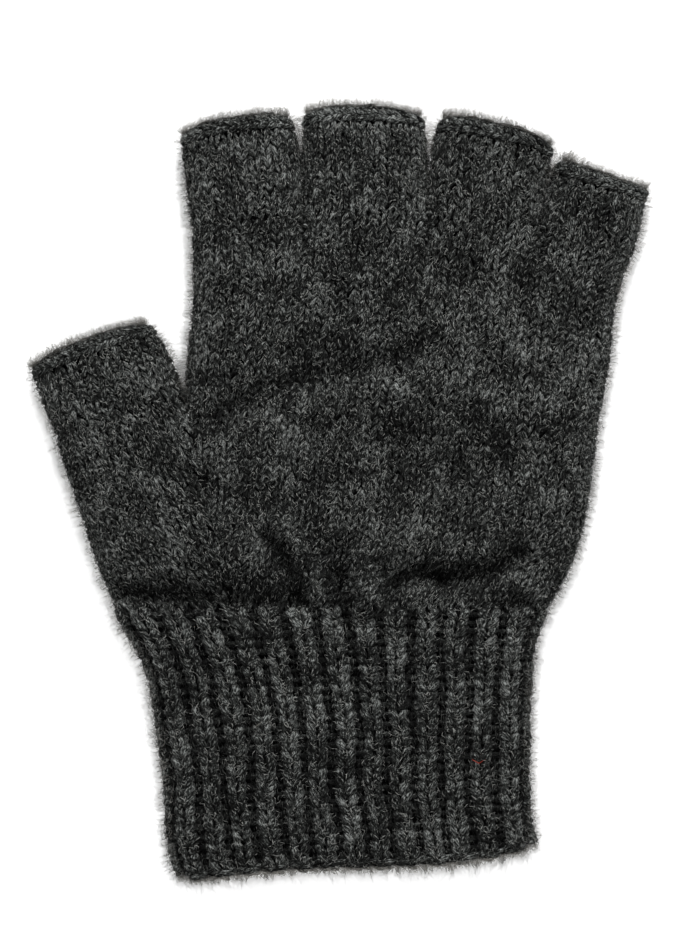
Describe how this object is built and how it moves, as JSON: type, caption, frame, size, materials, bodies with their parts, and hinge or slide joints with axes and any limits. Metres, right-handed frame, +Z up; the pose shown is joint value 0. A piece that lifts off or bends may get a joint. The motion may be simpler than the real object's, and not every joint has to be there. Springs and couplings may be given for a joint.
{
  "type": "fingerless glove",
  "caption": "Knitted fingerless glove lying flat: ribbed cuff, hollow hand with thumb gusset, and short open stalls that bend where the fingers do.",
  "frame": {"origin": "middle of the underside of the glove's bounding box, on the surface that it lies on", "axes": "+Y from the cuff towards the fingertips, +Z up out of the palm side, thumb towards -X"},
  "size_m": [0.1506, 0.1894, 0.011],
  "materials": {
    "plain_knit": "charcoal wool in plain knit, heathered with light and dark fibres, brushed and fuzzy",
    "rib_knit": "the same charcoal wool in one-by-one rib, its furrows darker than its ribs",
    "edge_knit": "the same charcoal wool, cast off in a thicker edge",
    "join_knit": "the same charcoal wool, knitted through both layers",
    "yarn": "the same charcoal wool as a loose twisted end"
  },
  "bodies": {
    "hand": {"hand_tube": "plain_knit", "thumb_gusset": "plain_knit", "thumb_web": "join_knit", "index_middle_web": "join_knit", "middle_ring_web": "join_knit", "ring_little_web": "join_knit"},
    "cuff": {"cuff_rib": "rib_knit", "cuff_edge": "edge_knit", "cuff_yarn_end": "yarn"},
    "thumb": {"thumb_stall": "plain_knit", "thumb_edge": "edge_knit", "thumb_yarn_end": "yarn"},
    "index": {"index_stall": "plain_knit", "index_edge": "edge_knit", "index_yarn_end": "yarn"},
    "middle": {"middle_stall": "plain_knit", "middle_edge": "edge_knit", "middle_yarn_end": "yarn"},
    "ring": {"ring_stall": "plain_knit", "ring_edge": "edge_knit", "ring_yarn_end": "yarn"},
    "little": {"little_stall": "plain_knit", "little_edge": "edge_knit", "little_yarn_end": "yarn"}
  },
  "joints": [
    {"name": "wrist_bend", "type": "hinge", "parent": "hand", "child": "cuff", "pos_m": [-0.00264, -0.02817, 0.011], "axis": [-1, 0, 0], "range_deg": [0, 70], "stiffness_Nm_per_rad": 0.001},
    {"name": "thumb_bend", "type": "hinge", "parent": "hand", "child": "thumb", "pos_m": [-0.054, 0.01857, 0.011], "axis": [0.9252, 0.3795, 0], "range_deg": [0, 80], "stiffness_Nm_per_rad": 0.0003},
    {"name": "index_bend", "type": "hinge", "parent": "hand", "child": "index", "pos_m": [-0.02322, 0.067, 0.011], "axis": [0.9936, 0.1132, 0], "range_deg": [0, 85], "stiffness_Nm_per_rad": 0.0003},
    {"name": "middle_bend", "type": "hinge", "parent": "hand", "child": "middle", "pos_m": [0.00578, 0.06884, 0.011], "axis": [0.9998, 0.0175, 0], "range_deg": [0, 85], "stiffness_Nm_per_rad": 0.0003},
    {"name": "ring_bend", "type": "hinge", "parent": "hand", "child": "ring", "pos_m": [0.03485, 0.06716, 0.011], "axis": [0.9903, -0.1392, 0], "range_deg": [0, 85], "stiffness_Nm_per_rad": 0.0003},
    {"name": "little_bend", "type": "hinge", "parent": "hand", "child": "little", "pos_m": [0.06035, 0.06231, 0.011], "axis": [0.9703, -0.2419, 0], "range_deg": [0, 85], "stiffness_Nm_per_rad": 0.0003}
  ]
}
